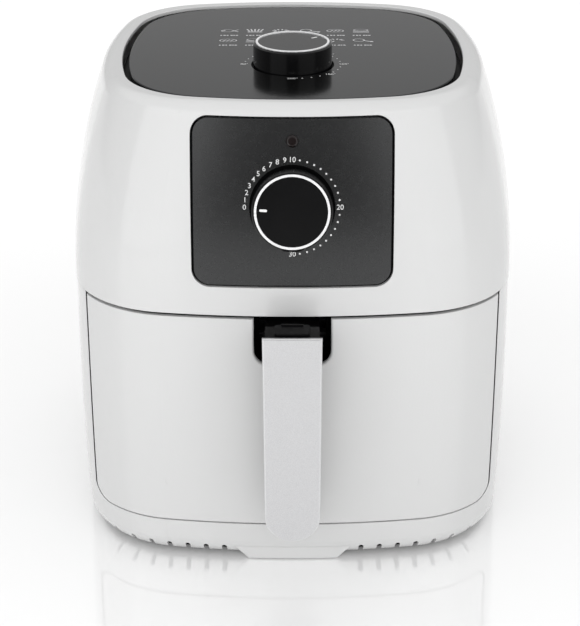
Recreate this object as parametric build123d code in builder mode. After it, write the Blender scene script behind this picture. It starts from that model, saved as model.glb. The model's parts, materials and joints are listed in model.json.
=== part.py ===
"""Hot-air fryer with a pull-out drawer, as separate pieces. Millimetres, +Z up, front towards -Y.

The origin is under the middle of the whole object, on the surface that it stands on.
Places along Y are counted from the body's own centre line and moved by BODY_Y onto the origin.
"""

from build123d import *
from math import asin, cos, radians, sin, sqrt
import os

# Overall shape of the body: half widths of the rounded square at evenly spaced heights
BASE_LEVELS = [(5, 144.8), (10, 148.3), (15, 149.6)]
LOWER_LEVELS = [(15, 149.6), (57, 151.3), (99, 151.8), (141.1, 151.6), (183.4, 151)]
UPPER_LEVELS = [(184.4, 151.6), (217.5, 149.7), (250.7, 145.3), (283.8, 137.6), (317, 126.9)]
SHOULDER_RADIUS = 10
# Roundness of that square: distance to its corner and radius of the corner, as shares of the half
# width. The corners grow rounder from ROUNDER_FROM up to the top.
DIAGONAL = 0.8247
CORNER_RADIUS = 0.467
TOP_DIAGONAL = 0.806
TOP_CORNER_RADIUS = 0.515
ROUNDER_FROM = 217.5
HANDLE_FRONT = 188
REAR_REACH = 154.4
BODY_Y = (HANDLE_FRONT - REAR_REACH) / 2
WALL = 2.6
GAP = 0.3

# Drawer opening, drawer front and the notch for the handle
OPENING_HALF = 136.3
OPENING_BOTTOM = 29.3
OPENING_RADIUS = 11
FRONT_GAP = 1.0
FRONT_TOP = 181.9
FRONT_WALL = 3
NOTCH_WIDTH = 49.5
NOTCH_BOTTOM = 149.4
NOTCH_RADIUS = 10
NOTCH_ROUND = 1.4

# Cooking chamber, pan and basket
PAN_CENTRE = -2
CHAMBER_HALF = 123
CHAMBER_SHEET = 1.2
CHAMBER_FRONT = -96
CHAMBER_BACK = 116
CHAMBER_BOTTOM = 31
CHAMBER_TOP = 178.5
PAN_TOP = 156.5
PAN_BOTTOM = 35
PAN_HALF_TOP = 112
PAN_HALF_BOTTOM = 105
PAN_SHEET = 1.2
BASKET_TOP = 158
BASKET_BOTTOM = 44
BASKET_HALF_TOP = 99
BASKET_HALF_BOTTOM = 94
BASKET_SHEET = 1
COVER_FRONT = -122
COVER_BACK = -119.5

# Handle
HANDLE_TOP = 186
HANDLE_BOTTOM = 39.5
HANDLE_HALF_TOP = 18.7
HANDLE_HALF_BOTTOM = 18
HANDLE_CORE_FRONT = -186
HANDLE_CORE_BACK = -175
CORE_HALF = 17

# Controls
PANEL_HALF = 62.2
PANEL_BOTTOM = 205.2
PANEL_TOP = 308.5
PANEL_RADIUS = 10
PANEL_GAP = 1.6
TIMER_HEIGHT = 255.8
TIMER_TILT = 10.4
LENS_HEIGHT = 296
LENS_TILT = 18.5
TEMPERATURE_KNOB_RADIUS = 26.2
TEMPERATURE_KNOB_HEIGHT = 18.5
TIMER_KNOB_RADIUS = 25.3
TIMER_KNOB_HEIGHT = 17.5
KNOB_WELL_GAP = 1.5
RING_INSET = 1.7
RING_WIDTH = 1.5
SHAFT_RADIUS = 3
TEMPERATURE_Y = -35
PLATE_HALF = 111
PLATE_BOTTOM = 313.1
PLATE_TOP = 315.6
FRAME_HALF = 114.6
FRAME_BOTTOM = 304.5
FRAME_LEDGE = 307
PEDESTAL_HALF = 109.6

# Hot-air unit above the chamber
HOOD_RADIUS = 100
HOOD_TOP = 215
HOOD_SHEET = 1
ELEMENT_Z = 188
ELEMENT_RADIUS = 3.2
ELEMENT_TURNS = (60, 78)
DECK_BOTTOM = 183.4
DECK_TOP = 185.2
MOTOR_PLATE_Z = 236
STATOR_BOTTOM = 240
STATOR_TOP = 262

os.makedirs("parts", exist_ok=True)


def save(piece, name):
    """Label a finished piece and write it under its own name."""
    piece.part.label = name
    export_step(piece.part, f"parts/{name}.step")


def level(z):
    """Horizontal plane at height z on the body's centre line."""
    return Plane(origin=(0, BODY_Y, z))


def facing_front(y, z=0):
    """Upright plane that looks towards -Y, with its own Y axis up."""
    return Plane(origin=(0, BODY_Y + y, z), x_dir=(1, 0, 0), z_dir=(0, -1, 0))


def facing_side(x=0):
    """Upright plane that looks towards +X: across is the body's Y, up is Z."""
    return Plane(origin=(x, BODY_Y, 0), x_dir=(0, 1, 0), z_dir=(1, 0, 0))


def curved_half_side(z, levels):
    """Half width of the body at height z, on the smooth curve through the levels."""
    total = 0
    for height, half in levels:
        weight = half
        for other, _ in levels:
            if other != height:
                weight *= (z - other) / (height - other)
        total += weight
    return total


def wall_plane(z, tilt):
    """Plane that touches the upper housing's front at height z and leans back by tilt degrees."""
    touch = (0, BODY_Y - curved_half_side(z, UPPER_LEVELS), z)
    return Plane(origin=touch, x_dir=(1, 0, 0), z_dir=(0, -cos(radians(tilt)), sin(radians(tilt))))


TIMER_PLANE = wall_plane(TIMER_HEIGHT, TIMER_TILT)
LENS_PLANE = wall_plane(LENS_HEIGHT, LENS_TILT)


def square_arcs(z):
    """Corner centre, corner radius, side radius and meeting point of the unit rounded square at height z."""
    top = UPPER_LEVELS[-1][0]
    share = min(max((z - ROUNDER_FROM) / (top - ROUNDER_FROM), 0), 1)
    diagonal = DIAGONAL + (TOP_DIAGONAL - DIAGONAL) * share
    corner = CORNER_RADIUS + (TOP_CORNER_RADIUS - CORNER_RADIUS) * share
    centre = diagonal - corner / sqrt(2)
    side = (centre**2 + (1 - centre) ** 2 - corner**2) / (2 * (1 - centre) - 2 * corner)
    meet_along = side * centre / (side - corner)
    meet_out = 1 - side + side * (centre - 1 + side) / (side - corner)
    return diagonal, centre, corner, side, meet_along, meet_out


def rounded_square(half, z):
    """Face with four gently bowed sides that run into four round corners."""
    diagonal, _, _, _, meet_along, meet_out = square_arcs(z)
    corner_points = [
        (meet_out, -meet_along),
        (1, 0),
        (meet_out, meet_along),
        (diagonal, diagonal),
        (meet_along, meet_out),
    ]
    with BuildLine() as outline:
        for turn in range(0, 360, 90):
            points = [Vector(x * half, y * half).rotate(Axis.Z, turn) for x, y in corner_points]
            ThreePointArc(points[0], points[1], points[2])
            ThreePointArc(points[2], points[3], points[4])
    make_face(outline.edges())


def stack(levels, inset=0, mode=Mode.ADD):
    """Smooth solid through rounded squares at the given heights."""
    sections = []
    for height, half in levels:
        with BuildSketch(level(height)) as section:
            rounded_square(half - inset, height)
        sections.append(section.sketch.face())
    loft(sections=sections, mode=mode)


def lower_body(inset=0, mode=Mode.ADD):
    """Lower half of the body with its rounded bottom edge, drawn in by inset."""
    stack(BASE_LEVELS, inset, mode)
    stack(LOWER_LEVELS, inset, mode)


def lower_shell(wall):
    """Wall of the lower half, open at both ends."""
    lower_body()
    lower_body(wall, Mode.SUBTRACT)


def upper_body(inset=0, mode=Mode.ADD):
    """Upper half of the body with its rounded shoulder, drawn in by inset."""
    with BuildPart(mode=Mode.PRIVATE) as form:
        stack(UPPER_LEVELS, inset)
        shoulder = form.faces().sort_by(Axis.Z)[-1].edges()
        fillet(shoulder, SHOULDER_RADIUS - inset)
    add(form.part.moved(Location((0, 0, -inset))), mode=mode)


def block(x, y, z, mode=Mode.ADD, radius=0):
    """Block between two limits along each axis, with its upright corners rounded if a radius is given."""
    with BuildSketch(level(z[0])) as footprint:
        with Locations(((x[0] + x[1]) / 2, (y[0] + y[1]) / 2)):
            if radius:
                RectangleRounded(x[1] - x[0], y[1] - y[0], radius)
            else:
                Rectangle(x[1] - x[0], y[1] - y[0])
    extrude(footprint.sketch, amount=z[1] - z[0], mode=mode)


def disc(plane, radius, start, end, mode=Mode.ADD, places=((0, 0),)):
    """Round bars on a plane, from one distance to another along its normal."""
    with BuildSketch(plane.offset(start)) as section:
        with Locations(*places):
            Circle(radius)
    extrude(section.sketch, amount=end - start, mode=mode)


def upright_window(half_width, low, high, radius, start, length, mode):
    """Prism along Y with a rounded upright rectangle as its section."""
    with BuildSketch(facing_front(start)) as window:
        with Locations((0, (low + high) / 2)):
            RectangleRounded(2 * half_width, high - low, radius)
    extrude(window.sketch, amount=length, mode=mode)


def tub(top, bottom, half_top, half_bottom, inset, mode=Mode.ADD):
    """Tapered round-cornered tub, as used by the pan and the basket."""
    sections = []
    for z, half in ((bottom, half_bottom), (top, half_top)):
        with BuildSketch(level(z)) as section:
            with Locations((0, PAN_CENTRE)):
                RectangleRounded(2 * (half - inset), 2 * (half - inset), 42 - inset)
        sections.append(section.sketch.face())
    loft(sections=sections, mode=mode)


# ---------------------------------------------------------------- outer casing

BOSS_PLACES = ((-137, -35), (137, -35), (-137, 35), (137, 35))
BOSS_RADIUS = 5
BOSS_TOP = 25
SCREW_RADIUS = 1.5
SCREW_HEAD = 3.4
PLATE_LOW = 5
PLATE_HIGH = 7.6
VENT_WIDTH = 3.4
VENT_FIRST = 46.4
VENT_PITCH = 12.5
VENT_COUNT = 7
VENT_HEIGHT = 12
LIP_HALF = 30
LIP_LEVELS = [(1, 147.9), (10.2, 148.5)]
LIP_WALL = 5.5
GLAND_HEIGHT = 46
GLAND_BODY = 6.5
GLAND_BORE = 3.75
GLAND_FLANGE = 10


def edge_at(x):
    """Lean of the base's edge at x, and its distance in front of the centre line."""
    half = curved_half_side(8, BASE_LEVELS)
    _, centre, corner, side, meet_along, _ = square_arcs(0)
    if x < meet_along * half:
        lean = asin(x / (side * half))
        out = (1 - side) * half + side * half * cos(lean)
    else:
        lean = asin((x - centre * half) / (corner * half))
        out = centre * half + corner * half * cos(lean)
    return lean, out


with BuildPart() as front_lip:
    stack(LIP_LEVELS)
    stack(LIP_LEVELS, LIP_WALL, Mode.SUBTRACT)
    with BuildSketch(facing_front(0)) as lip:
        lip_bottom, lip_top = LIP_LEVELS[0][0], LIP_LEVELS[1][0]
        flare = lip_top - lip_bottom
        with BuildLine():
            Polyline(
                (-LIP_HALF, lip_bottom),
                (LIP_HALF, lip_bottom),
                (LIP_HALF + flare, lip_top),
                (-LIP_HALF - flare, lip_top),
                close=True,
            )
        make_face()
    extrude(lip.sketch, amount=170, mode=Mode.INTERSECT)

with BuildPart() as lower_housing:
    lower_shell(WALL)
    upright_window(OPENING_HALF, OPENING_BOTTOM, 205, OPENING_RADIUS, -90, 75, Mode.SUBTRACT)
    add(front_lip.part)
    for x, y in BOSS_PLACES:
        side = 1 if x > 0 else -1
        web = sorted((x, side * 145.4))
        block(web, (y - 3, y + 3), (PLATE_HIGH, BOSS_TOP))
    disc(level(0), BOSS_RADIUS, PLATE_HIGH, BOSS_TOP, places=BOSS_PLACES)
    disc(level(0), SCREW_RADIUS, PLATE_HIGH, BOSS_TOP - 4, Mode.SUBTRACT, BOSS_PLACES)
    for face_side in (-1, 1):
        for x_side in (-1, 1):
            for step in range(VENT_COUNT):
                across = VENT_FIRST + VENT_PITCH * step
                lean, out = edge_at(across)
                normal = (x_side * sin(lean), face_side * cos(lean), 0)
                vent = Plane(
                    origin=(x_side * across, BODY_Y + face_side * out, PLATE_LOW),
                    x_dir=(0, 0, 1),
                    z_dir=normal,
                )
                with BuildSketch(vent) as slot:
                    SlotOverall(VENT_HEIGHT, VENT_WIDTH)
                extrude(slot.sketch, amount=6, both=True, mode=Mode.SUBTRACT)
    disc(facing_front(REAR_REACH), GLAND_BODY + 0.1, 0, 12, Mode.SUBTRACT, ((0, GLAND_HEIGHT),))
save(lower_housing, "lower_housing")

OUTLET_HALF = 58
OUTLET_LOW = 214
OUTLET_HIGH = 286
OUTLET_RADIUS = 8
OUTLET_SLOTS = 8
THROAT_HALF = 115.2

with BuildPart() as upper_housing:
    upper_body()
    upper_body(WALL, Mode.SUBTRACT)
    with BuildSketch(level(300)) as throat:
        rounded_square(THROAT_HALF, PLATE_TOP)
    extrude(throat.sketch, amount=30, mode=Mode.SUBTRACT)
    rim = upper_housing.faces().sort_by(Axis.Z)[-1].inner_wires()[0].edges()
    fillet(rim, 0.8)
    upright_window(
        PANEL_HALF + PANEL_GAP, PANEL_BOTTOM - PANEL_GAP, PANEL_TOP + PANEL_GAP, PANEL_RADIUS + PANEL_GAP,
        -116, 45, Mode.SUBTRACT,
    )
    upright_window(OUTLET_HALF, OUTLET_LOW, OUTLET_HIGH, OUTLET_RADIUS, 160, 50, Mode.SUBTRACT)
save(upper_housing, "upper_housing")

VENT_RING = 62
SCREEN_HEIGHT = 6
SCREEN_SHEET = 1.5
FOOT_PLACES = ((-96, -96), (96, -96), (-96, 96), (96, 96))
FOOT_RADIUS = 10
FOOT_STEM = 4
POST_PLACES = ((-98, -62), (98, -62), (-98, 70), (98, 70))

with BuildPart() as base_plate:
    with BuildSketch(level(PLATE_LOW)):
        rounded_square(141.6, PLATE_LOW)
        with PolarLocations(VENT_RING, 24):
            SlotOverall(32, 4, mode=Mode.SUBTRACT)
        with Locations(*FOOT_PLACES):
            Circle(FOOT_STEM, mode=Mode.SUBTRACT)
        with Locations(*BOSS_PLACES):
            Circle(SCREW_RADIUS, mode=Mode.SUBTRACT)
    extrude(amount=PLATE_HIGH - PLATE_LOW)
    with BuildSketch(level(PLATE_HIGH)) as screen_outside:
        rounded_square(141.6, PLATE_LOW)
    extrude(screen_outside.sketch, amount=SCREEN_HEIGHT)
    with BuildSketch(level(PLATE_HIGH)) as screen_inside:
        rounded_square(141.6 - SCREEN_SHEET, PLATE_LOW)
    extrude(screen_inside.sketch, amount=SCREEN_HEIGHT, mode=Mode.SUBTRACT)
    block((-150, 150), (-60, 60), (PLATE_HIGH, PLATE_HIGH + SCREEN_HEIGHT), Mode.SUBTRACT)
    disc(level(0), 5, PLATE_HIGH, CHAMBER_BOTTOM, places=POST_PLACES)
save(base_plate, "base_plate")

with BuildPart() as rubber_feet:
    for place in FOOT_PLACES:
        with BuildSketch(facing_side(place[0])) as half_profile:
            with BuildLine():
                Polyline(
                    (place[1], 0),
                    (place[1] + FOOT_RADIUS - 1, 0),
                    (place[1] + FOOT_RADIUS, 1),
                    (place[1] + FOOT_RADIUS - 1, PLATE_LOW),
                    (place[1] + FOOT_STEM, PLATE_LOW),
                    (place[1] + FOOT_STEM, PLATE_HIGH),
                    (place[1] + FOOT_STEM + 1.5, PLATE_HIGH),
                    (place[1] + FOOT_STEM - 1, PLATE_HIGH + 4),
                    (place[1], PLATE_HIGH + 4),
                    close=True,
                )
            make_face()
        revolve(axis=Axis((place[0], BODY_Y + place[1], 0), (0, 0, 1)))
save(rubber_feet, "rubber_feet")

with BuildPart() as housing_screws:
    disc(level(0), SCREW_HEAD, PLATE_LOW - 1.8, PLATE_LOW, places=BOSS_PLACES)
    disc(level(0), SCREW_RADIUS, PLATE_LOW, BOSS_TOP - 6, places=BOSS_PLACES)
save(housing_screws, "housing_screws")

with BuildPart() as cord_gland:
    gland_back = facing_front(REAR_REACH)
    disc(gland_back, GLAND_FLANGE, 0, 3, places=((0, GLAND_HEIGHT),))
    disc(gland_back, GLAND_BODY, 3, 14, places=((0, GLAND_HEIGHT),))
    disc(gland_back, GLAND_BORE, 0, 14, Mode.SUBTRACT, ((0, GLAND_HEIGHT),))
    fillet(cord_gland.faces().sort_by(Axis.Y)[-1].edges().sort_by(SortBy.LENGTH)[-1], 1.2)
save(cord_gland, "cord_gland")

with BuildPart() as rear_grille:
    upper_body(0.2)
    upper_body(WALL, Mode.SUBTRACT)
    upright_window(
        OUTLET_HALF - GAP, OUTLET_LOW + GAP, OUTLET_HIGH - GAP, OUTLET_RADIUS, 160, 60, Mode.INTERSECT
    )
    with BuildSketch(facing_front(170)) as louvres:
        pitch = (OUTLET_HIGH - OUTLET_LOW - 8) / OUTLET_SLOTS
        for row in range(OUTLET_SLOTS):
            for column in (-1, 1):
                with Locations((column * 27, OUTLET_LOW + 4 + pitch * (row + 0.5))):
                    SlotOverall(46, 5)
    extrude(amount=60, mode=Mode.SUBTRACT)
save(rear_grille, "rear_grille")

with BuildPart() as mid_deck:
    with BuildSketch(level(DECK_BOTTOM)):
        rounded_square(148.5, DECK_BOTTOM)
        Circle(HOOD_RADIUS + 1, mode=Mode.SUBTRACT)
    extrude(amount=DECK_TOP - DECK_BOTTOM)
save(mid_deck, "mid_deck")

# ---------------------------------------------------------------- top panel and controls

with BuildPart() as top_frame:
    with BuildSketch(level(FRAME_BOTTOM)):
        rounded_square(FRAME_HALF, PLATE_TOP)
    extrude(amount=FRAME_LEDGE - FRAME_BOTTOM)
    with BuildSketch(level(FRAME_LEDGE)) as pedestal:
        rounded_square(PEDESTAL_HALF, PLATE_TOP)
    extrude(pedestal.sketch, amount=PLATE_BOTTOM - FRAME_LEDGE)
    disc(level(0), SHAFT_RADIUS + 1, FRAME_BOTTOM, PLATE_BOTTOM, Mode.SUBTRACT, ((0, TEMPERATURE_Y),))
save(top_frame, "top_frame")

with BuildPart() as top_panel:
    with BuildSketch(level(PLATE_BOTTOM)):
        rounded_square(PLATE_HALF, PLATE_TOP)
        with Locations((0, TEMPERATURE_Y)):
            Circle(TEMPERATURE_KNOB_RADIUS + KNOB_WELL_GAP, mode=Mode.SUBTRACT)
    extrude(amount=PLATE_TOP - PLATE_BOTTOM)
    top_edges = top_panel.faces().sort_by(Axis.Z)[-1].outer_wire().edges()
    chamfer(top_edges, 0.6)
save(top_panel, "top_panel")

PANEL_INSET = 0.3
PANEL_SHEET = 2.2
GASKET_INSET = WALL + 0.2
GASKET_SHEET = 2

with BuildPart() as control_panel:
    upper_body(PANEL_INSET)
    upper_body(PANEL_INSET + PANEL_SHEET, Mode.SUBTRACT)
    upright_window(PANEL_HALF, PANEL_BOTTOM, PANEL_TOP, PANEL_RADIUS, -100, 70, Mode.INTERSECT)
    disc(TIMER_PLANE, TIMER_KNOB_RADIUS + KNOB_WELL_GAP, -6, 6, Mode.SUBTRACT)
    disc(LENS_PLANE, 3.9, -8, 6, Mode.SUBTRACT)
save(control_panel, "control_panel")

with BuildPart() as control_panel_gasket:
    upper_body(GASKET_INSET)
    upper_body(GASKET_INSET + GASKET_SHEET, Mode.SUBTRACT)
    upright_window(PANEL_HALF + 8, PANEL_BOTTOM - 8, 306, PANEL_RADIUS + 8, -115, 70, Mode.INTERSECT)
    disc(TIMER_PLANE, SHAFT_RADIUS + 2, -8, 6, Mode.SUBTRACT)
    disc(LENS_PLANE, 3.9, -10, 6, Mode.SUBTRACT)
save(control_panel_gasket, "control_panel_gasket")

with BuildPart() as indicator_lens:
    disc(LENS_PLANE, 3.8, -5, 1.3)
    fillet(indicator_lens.faces().sort_by(Axis.Y)[0].edges(), 1.5)
save(indicator_lens, "indicator_lens")

with BuildPart() as indicator_lamp:
    disc(LENS_PLANE, 2.6, -16, -5)
save(indicator_lamp, "indicator_lamp")


def knob_body(plane, radius, height):
    """Round knob with a recess in its end for the trim ring and the cap, and a socket for the shaft."""
    disc(plane, radius, 0.5, height - 1.5)
    with BuildSketch(plane.offset(height - 1.5)) as wide:
        Circle(radius)
    with BuildSketch(plane.offset(height - 0.6)) as narrow:
        Circle(radius - 0.9)
    loft(sections=[wide.sketch.face(), narrow.sketch.face()])
    disc(plane, radius - RING_INSET, height - 2.4, height, Mode.SUBTRACT)
    disc(plane, radius - 3, 0.5, height - 6, Mode.SUBTRACT)
    disc(plane, 7, 0.5, height - 5)
    disc(plane, SHAFT_RADIUS, 0.5, height - 7, Mode.SUBTRACT)


def knob_ring(plane, radius, height):
    """Bright trim ring that stands a little proud of the knob's end."""
    ring_radius = radius - RING_INSET
    disc(plane, ring_radius, height - 2.4, height)
    disc(plane, ring_radius - RING_WIDTH, height - 2.4, height, Mode.SUBTRACT)


def knob_cap(plane, radius, height):
    """Disc that fills the ring, set slightly below it."""
    disc(plane, radius - RING_INSET - RING_WIDTH, height - 2.4, height - 0.8)


TEMPERATURE_PLANE = Plane(origin=(0, BODY_Y + TEMPERATURE_Y, PLATE_BOTTOM))
TIMER_BASE = TIMER_PLANE.offset(-2.6)

KNOBS = (
    ("temperature", TEMPERATURE_PLANE, TEMPERATURE_KNOB_RADIUS, TEMPERATURE_KNOB_HEIGHT),
    ("timer", TIMER_BASE, TIMER_KNOB_RADIUS, TIMER_KNOB_HEIGHT),
)

for control, plane, radius, height in KNOBS:
    with BuildPart() as knob_body_piece:
        knob_body(plane, radius, height)
    save(knob_body_piece, f"{control}_knob_body")
    with BuildPart() as knob_ring_piece:
        knob_ring(plane, radius, height)
    save(knob_ring_piece, f"{control}_knob_ring")
    with BuildPart() as knob_cap_piece:
        knob_cap(plane, radius, height)
    save(knob_cap_piece, f"{control}_knob_cap")

THERMOSTAT_TOP = -12

with BuildPart() as temperature_shaft:
    disc(TEMPERATURE_PLANE, SHAFT_RADIUS, THERMOSTAT_TOP - 3, TEMPERATURE_KNOB_HEIGHT - 7)
save(temperature_shaft, "temperature_shaft")

with BuildPart() as thermostat:
    disc(TEMPERATURE_PLANE, 6, THERMOSTAT_TOP - 2, THERMOSTAT_TOP)
    with BuildSketch(TEMPERATURE_PLANE.offset(THERMOSTAT_TOP - 18)) as thermostat_case:
        RectangleRounded(34, 26, 3)
    extrude(thermostat_case.sketch, amount=16)
    with BuildSketch(TEMPERATURE_PLANE.offset(THERMOSTAT_TOP - 10)) as thermostat_tabs:
        Rectangle(52, 10)
    extrude(thermostat_tabs.sketch, amount=1.5)
    disc(TEMPERATURE_PLANE, SHAFT_RADIUS + 0.05, THERMOSTAT_TOP - 5, THERMOSTAT_TOP, Mode.SUBTRACT)
save(thermostat, "thermostat")

TIMER_FRONT = -7

with BuildPart() as timer_shaft:
    disc(TIMER_BASE, SHAFT_RADIUS, TIMER_FRONT - 3, TIMER_KNOB_HEIGHT - 7)
save(timer_shaft, "timer_shaft")

with BuildPart() as timer_unit:
    disc(TIMER_BASE, 6, TIMER_FRONT - 2, TIMER_FRONT)
    with BuildSketch(TIMER_BASE.offset(TIMER_FRONT - 30)) as timer_case:
        RectangleRounded(42, 38, 4)
    extrude(timer_case.sketch, amount=28)
    with BuildSketch(TIMER_BASE.offset(TIMER_FRONT - 4)) as timer_tabs:
        Rectangle(58, 12)
    extrude(timer_tabs.sketch, amount=2)
    disc(TIMER_BASE, 3, TIMER_FRONT - 34, TIMER_FRONT - 30)
    disc(TIMER_BASE, SHAFT_RADIUS + 0.05, TIMER_FRONT - 5, TIMER_FRONT, Mode.SUBTRACT)
save(timer_unit, "timer_unit")

BELL_RADIUS = 17

with BuildPart() as timer_bell:
    disc(TIMER_BASE, BELL_RADIUS, TIMER_FRONT - 42, TIMER_FRONT - 34)
    fillet(timer_bell.faces().sort_by(Axis.Y)[-1].edges(), 4)
    disc(TIMER_BASE, BELL_RADIUS - 1.2, TIMER_FRONT - 40.8, TIMER_FRONT - 34, Mode.SUBTRACT)
    disc(TIMER_BASE, 3, TIMER_FRONT - 41, TIMER_FRONT - 34)
save(timer_bell, "timer_bell")

# ---------------------------------------------------------------- cooking chamber and hot-air unit

AIR_HOLE = 90

with BuildPart() as cooking_chamber:
    outer_half = CHAMBER_HALF + CHAMBER_SHEET
    block((-outer_half, outer_half), (CHAMBER_FRONT, CHAMBER_BACK), (CHAMBER_BOTTOM, CHAMBER_TOP))
    block(
        (-CHAMBER_HALF, CHAMBER_HALF),
        (CHAMBER_FRONT - 5, CHAMBER_BACK - CHAMBER_SHEET),
        (CHAMBER_BOTTOM + CHAMBER_SHEET, CHAMBER_TOP - CHAMBER_SHEET),
        Mode.SUBTRACT,
    )
    disc(level(0), AIR_HOLE, CHAMBER_TOP - 5, CHAMBER_TOP + 5, Mode.SUBTRACT)
save(cooking_chamber, "cooking_chamber")

RAIL_TOP = PAN_TOP - GAP
RAIL_DEPTH = 4

with BuildPart() as guide_rails:
    for side in (-1, 1):
        outer = sorted((side * CHAMBER_HALF, side * (CHAMBER_HALF - 5.5)))
        block(outer, (CHAMBER_FRONT + 4, CHAMBER_BACK - 10), (RAIL_TOP - RAIL_DEPTH, RAIL_TOP))
save(guide_rails, "guide_rails")

with BuildPart() as reflector:
    disc(level(0), HOOD_RADIUS, CHAMBER_TOP, HOOD_TOP)
    disc(level(0), HOOD_RADIUS - HOOD_SHEET, CHAMBER_TOP, HOOD_TOP - HOOD_SHEET, Mode.SUBTRACT)
    disc(level(0), SHAFT_RADIUS + 2, HOOD_TOP - 5, HOOD_TOP + 1, Mode.SUBTRACT)
    for turn in ELEMENT_TURNS:
        leg = Vector(turn, 0).rotate(Axis.Z, 15)
        disc(level(0), ELEMENT_RADIUS + 0.6, HOOD_TOP - 5, HOOD_TOP + 1, Mode.SUBTRACT, ((leg.X, leg.Y),))
save(reflector, "reflector")

GUARD_TOP = CHAMBER_TOP + 1.6

with BuildPart() as element_guard:
    with BuildSketch(level(CHAMBER_TOP)):
        for ring in (26, 49, 72, 95):
            Circle(ring)
            Circle(ring - 2, mode=Mode.SUBTRACT)
        for spoke in (0, 90, 180, 270):
            with PolarLocations(60, 1, start_angle=spoke):
                Rectangle(70, 2.5)
    extrude(amount=GUARD_TOP - CHAMBER_TOP)
save(element_guard, "element_guard")

ELEMENT_START = 15
ELEMENT_SWEEP = 330
LEG_TOP = 229

with BuildPart() as heating_element:
    for turn in ELEMENT_TURNS:
        start = Vector(turn, 0).rotate(Axis.Z, ELEMENT_START)
        section_plane = Plane(
            origin=(start.X, BODY_Y + start.Y, ELEMENT_Z),
            x_dir=(start.X, start.Y, 0),
            z_dir=(-start.Y, start.X, 0),
        )
        with BuildSketch(section_plane) as tube:
            Circle(ELEMENT_RADIUS)
        revolve(tube.sketch, axis=Axis((0, BODY_Y, 0), (0, 0, 1)), revolution_arc=ELEMENT_SWEEP)
        with Locations((start.X, BODY_Y + start.Y, ELEMENT_Z)):
            Sphere(ELEMENT_RADIUS)
        disc(level(0), ELEMENT_RADIUS, ELEMENT_Z, LEG_TOP, places=((start.X, start.Y),))
    finish = Vector(1, 0).rotate(Axis.Z, ELEMENT_START + ELEMENT_SWEEP)
    inner, outer = ELEMENT_TURNS
    link = Plane(
        origin=(inner * finish.X, BODY_Y + inner * finish.Y, ELEMENT_Z),
        z_dir=(finish.X, finish.Y, 0),
    )
    disc(link, ELEMENT_RADIUS, 0, outer - inner)
    with Locations(
        (inner * finish.X, BODY_Y + inner * finish.Y, ELEMENT_Z),
        (outer * finish.X, BODY_Y + outer * finish.Y, ELEMENT_Z),
    ):
        Sphere(ELEMENT_RADIUS)
save(heating_element, "heating_element")

BRACKET_TURNS = (90, 180, 270)

with BuildPart() as element_brackets:
    for turn in BRACKET_TURNS:
        radial = Vector(1, 0).rotate(Axis.Z, turn)
        upright = Plane(origin=(0, BODY_Y, 0), x_dir=(radial.X, radial.Y, 0), z_dir=(-radial.Y, radial.X, 0))
        upward = 1 if upright.y_dir.Z > 0 else -1
        with BuildSketch(upright) as strap:
            with Locations((69, upward * 190)):
                Rectangle(32, 11)
            with Locations((69, upward * 204.7)):
                Rectangle(6, 18.6)
            for ring in ELEMENT_TURNS:
                with Locations((ring, upward * ELEMENT_Z)):
                    Circle(ELEMENT_RADIUS + 0.1, mode=Mode.SUBTRACT)
        extrude(strap.sketch, amount=1, both=True)
save(element_brackets, "element_brackets")

MOTOR_LEGS = [(38 * cos(radians(a)), 38 * sin(radians(a))) for a in (45, 135, 225, 315)]
MOTOR_SCREW_PLACES = ((-32, -32), (32, -32), (-32, 32), (32, 32))

with BuildPart() as motor_bracket:
    with BuildSketch(level(MOTOR_PLATE_Z)):
        RectangleRounded(76, 76, 10)
        Circle(SHAFT_RADIUS + 1.5, mode=Mode.SUBTRACT)
        with Locations(*MOTOR_SCREW_PLACES):
            Circle(2, mode=Mode.SUBTRACT)
    extrude(amount=2)
    for x, y in MOTOR_LEGS:
        block((x - 3, x + 3), (y - 3, y + 3), (HOOD_TOP, MOTOR_PLATE_Z))
        block((x - 6, x + 6), (y - 6, y + 6), (HOOD_TOP, HOOD_TOP + 1.5))
save(motor_bracket, "motor_bracket")

ROTOR_RADIUS = 16.8
STATOR_BORE = 17.3
BRIDGE_TOP = STATOR_TOP + 2

with BuildPart() as motor_stator:
    with BuildSketch(level(STATOR_BOTTOM)):
        RectangleRounded(56, 56, 6)
        Circle(STATOR_BORE, mode=Mode.SUBTRACT)
    extrude(amount=STATOR_TOP - STATOR_BOTTOM)
save(motor_stator, "motor_stator")

with BuildPart() as motor_bridge:
    with BuildSketch(level(STATOR_TOP)):
        RectangleRounded(76, 76, 10)
        Circle(SHAFT_RADIUS + 1.5, mode=Mode.SUBTRACT)
        with Locations(*MOTOR_SCREW_PLACES):
            Circle(2, mode=Mode.SUBTRACT)
    extrude(amount=BRIDGE_TOP - STATOR_TOP)
save(motor_bridge, "motor_bridge")

with BuildPart() as motor_bearings:
    for low in (MOTOR_PLATE_Z + 2, BRIDGE_TOP):
        with BuildSketch(level(low)) as bush:
            Circle(8)
            Circle(SHAFT_RADIUS + 0.05, mode=Mode.SUBTRACT)
        extrude(bush.sketch, amount=2)
save(motor_bearings, "motor_bearings")

with BuildPart() as motor_screws:
    disc(level(0), 2, MOTOR_PLATE_Z, BRIDGE_TOP, places=MOTOR_SCREW_PLACES)
    disc(level(0), 3.6, BRIDGE_TOP, BRIDGE_TOP + 2.4, places=MOTOR_SCREW_PLACES)
    disc(level(0), 3.6, MOTOR_PLATE_Z + 2, STATOR_TOP, places=MOTOR_SCREW_PLACES)
save(motor_screws, "motor_screws")

SHAFT_LOW = 184
SHAFT_HIGH = BRIDGE_TOP + 5

with BuildPart() as motor_shaft:
    disc(level(0), SHAFT_RADIUS, SHAFT_LOW, SHAFT_HIGH)
save(motor_shaft, "motor_shaft")

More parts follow.
